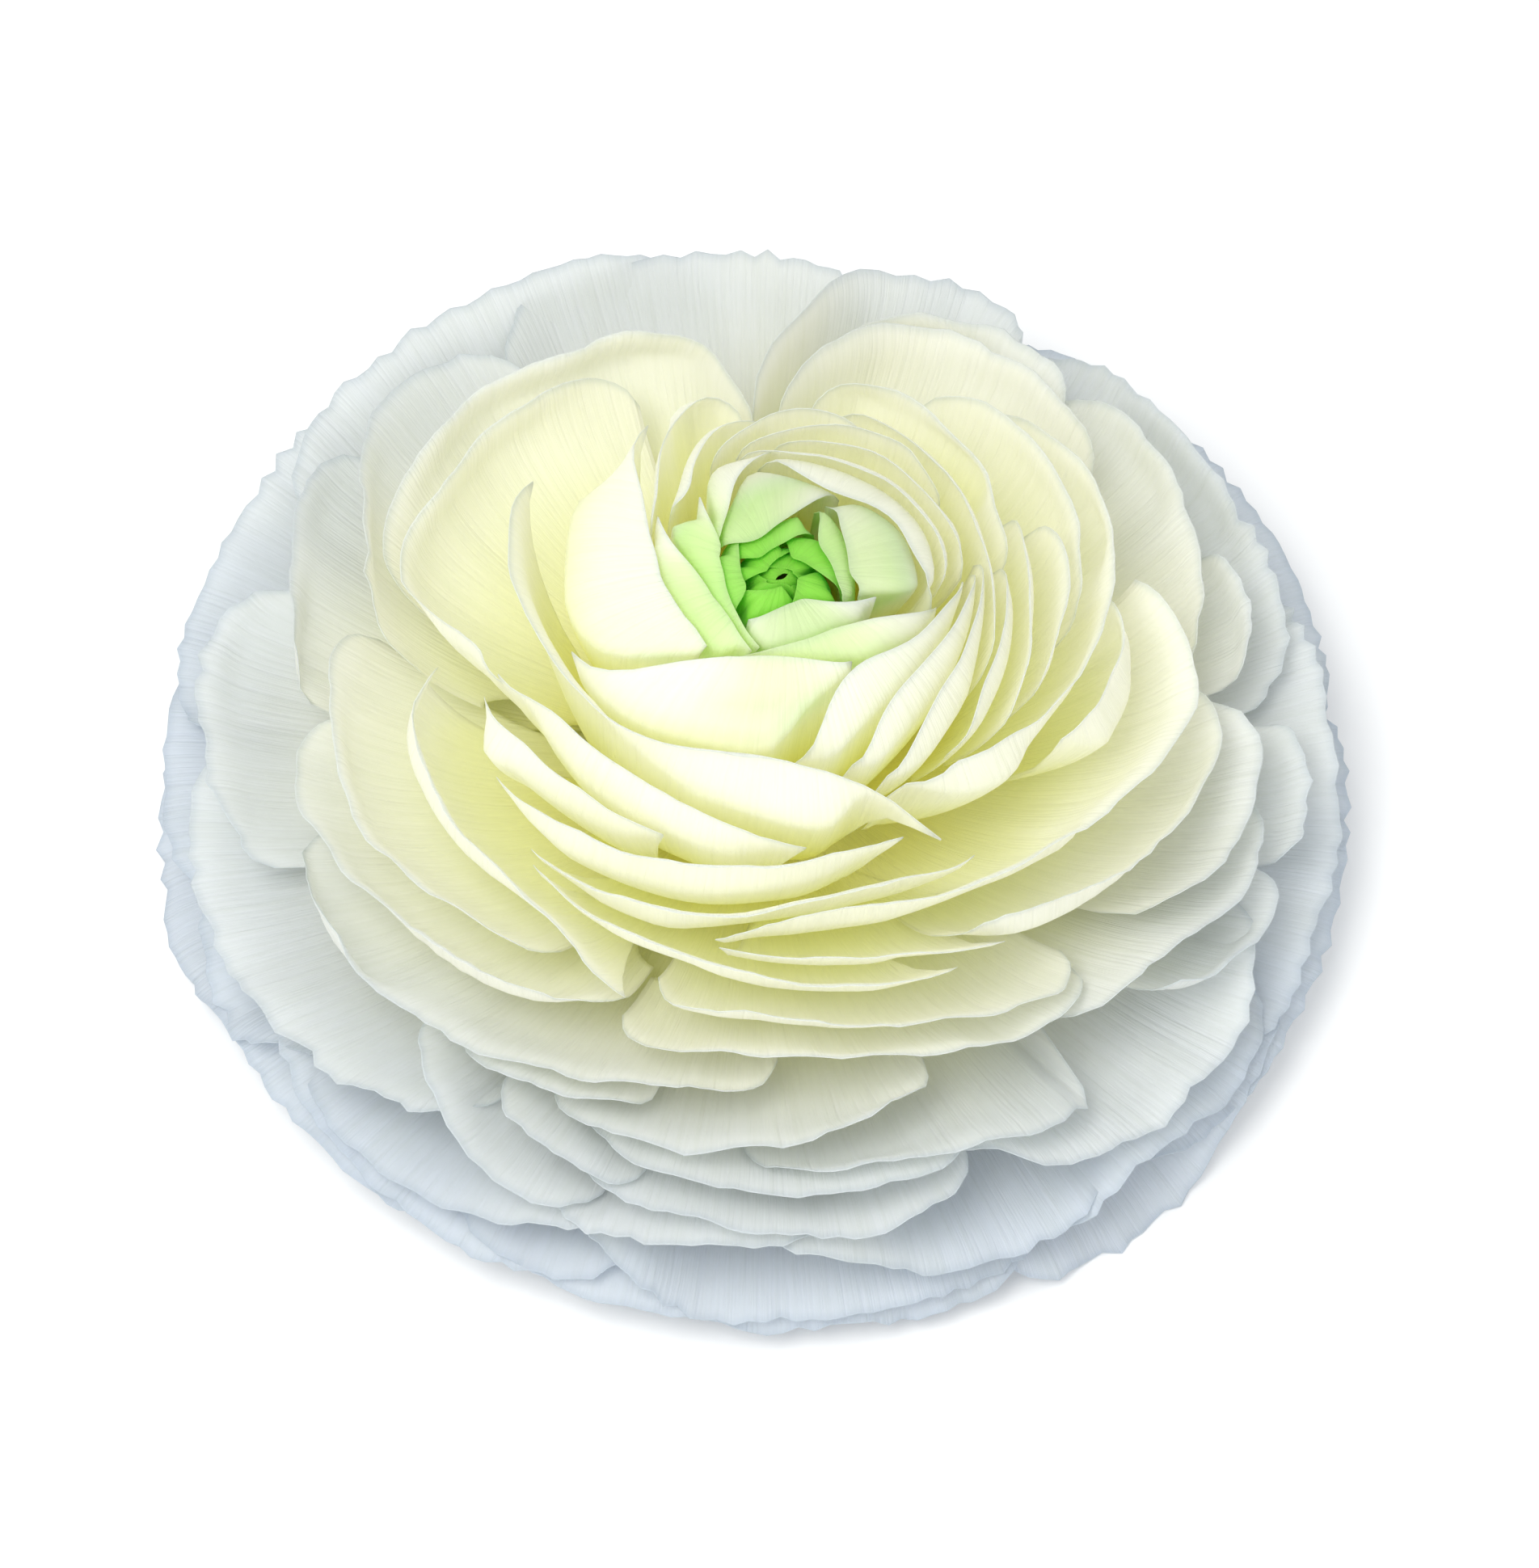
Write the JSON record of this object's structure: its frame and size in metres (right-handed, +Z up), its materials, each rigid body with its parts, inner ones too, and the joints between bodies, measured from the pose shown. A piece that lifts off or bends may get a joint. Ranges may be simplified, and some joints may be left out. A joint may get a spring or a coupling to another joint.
{
  "type": "flower head",
  "caption": "Double ranunculus flower head cut just below the bloom, white layered petals round a green folded eye, lying face up on its lowest petals.",
  "frame": {"origin": "middle of the footprint, on the surface that the lowest petals rest on", "axes": "+Z up along the flower's axis out of the eye, -Y towards the side where the eye leans, +X to the right seen from that side"},
  "size_m": [0.0972, 0.0996, 0.0427],
  "materials": {
    "stem": "satin green skin, pale cut end",
    "receptacle": "matte pale green",
    "sepal": "matte, finely hairy green",
    "eye_petal": "soft translucent bright green",
    "cream_petal": "soft translucent cream, yellow towards the base",
    "white_petal": "soft translucent white with fine veins"
  },
  "bodies": {
    "root": {"stem_stub": "stem", "receptacle": "receptacle", "sepal_1": "sepal", "sepal_2": "sepal", "sepal_3": "sepal", "sepal_4": "sepal", "sepal_5": "sepal", "petal_eye_core": "eye_petal", "petal_eye_right": "eye_petal", "petal_eye_front": "eye_petal", "petal_eye_back": "eye_petal", "petal_bud_right": "cream_petal", "petal_bud_left": "cream_petal", "petal_bud_back": "cream_petal", "petal_fan_back": "cream_petal", "petal_fan_left": "cream_petal", "petal_bud_front": "cream_petal", "petal_bud_side": "cream_petal", "petal_cup_back": "cream_petal", "petal_cup_right": "cream_petal", "petal_cup_lip_right": "cream_petal", "petal_cup_lip_left": "cream_petal", "petal_fold_front": "cream_petal", "petal_cup_left": "cream_petal", "petal_crescent_front": "cream_petal", "petal_skirt_back_inner": "white_petal", "petal_band_front": "cream_petal", "petal_band_right": "cream_petal", "petal_skirt_back_left": "white_petal", "petal_ruffle_right": "white_petal", "petal_ruffle_front": "white_petal", "petal_ruffle_left": "white_petal", "petal_skirt_front_inner": "white_petal", "petal_skirt_left_upper": "white_petal", "petal_skirt_left": "white_petal", "petal_skirt_right_back": "white_petal", "petal_skirt_left_front": "white_petal", "petal_skirt_front": "white_petal", "petal_skirt_right_front": "white_petal", "petal_skirt_back": "white_petal", "petal_skirt_front_left": "white_petal", "petal_skirt_side": "white_petal", "petal_skirt_right": "white_petal", "petal_skirt_front_mid": "white_petal", "petal_outer_left": "white_petal", "petal_outer_back": "white_petal", "petal_outer_front_right": "white_petal", "petal_outer_back_right": "white_petal", "petal_outer_side_right": "white_petal", "petal_outer_front": "white_petal", "petal_outer_left_front": "white_petal", "petal_outer_side_left": "white_petal", "petal_hem_left_back": "white_petal", "petal_hem_front_right": "white_petal", "petal_hem_right": "white_petal", "petal_hem_back": "white_petal", "petal_hem_front_left": "white_petal", "petal_hem_left": "white_petal", "petal_hem_front": "white_petal", "petal_hem_side_right": "white_petal"}
  },
  "joints": []
}
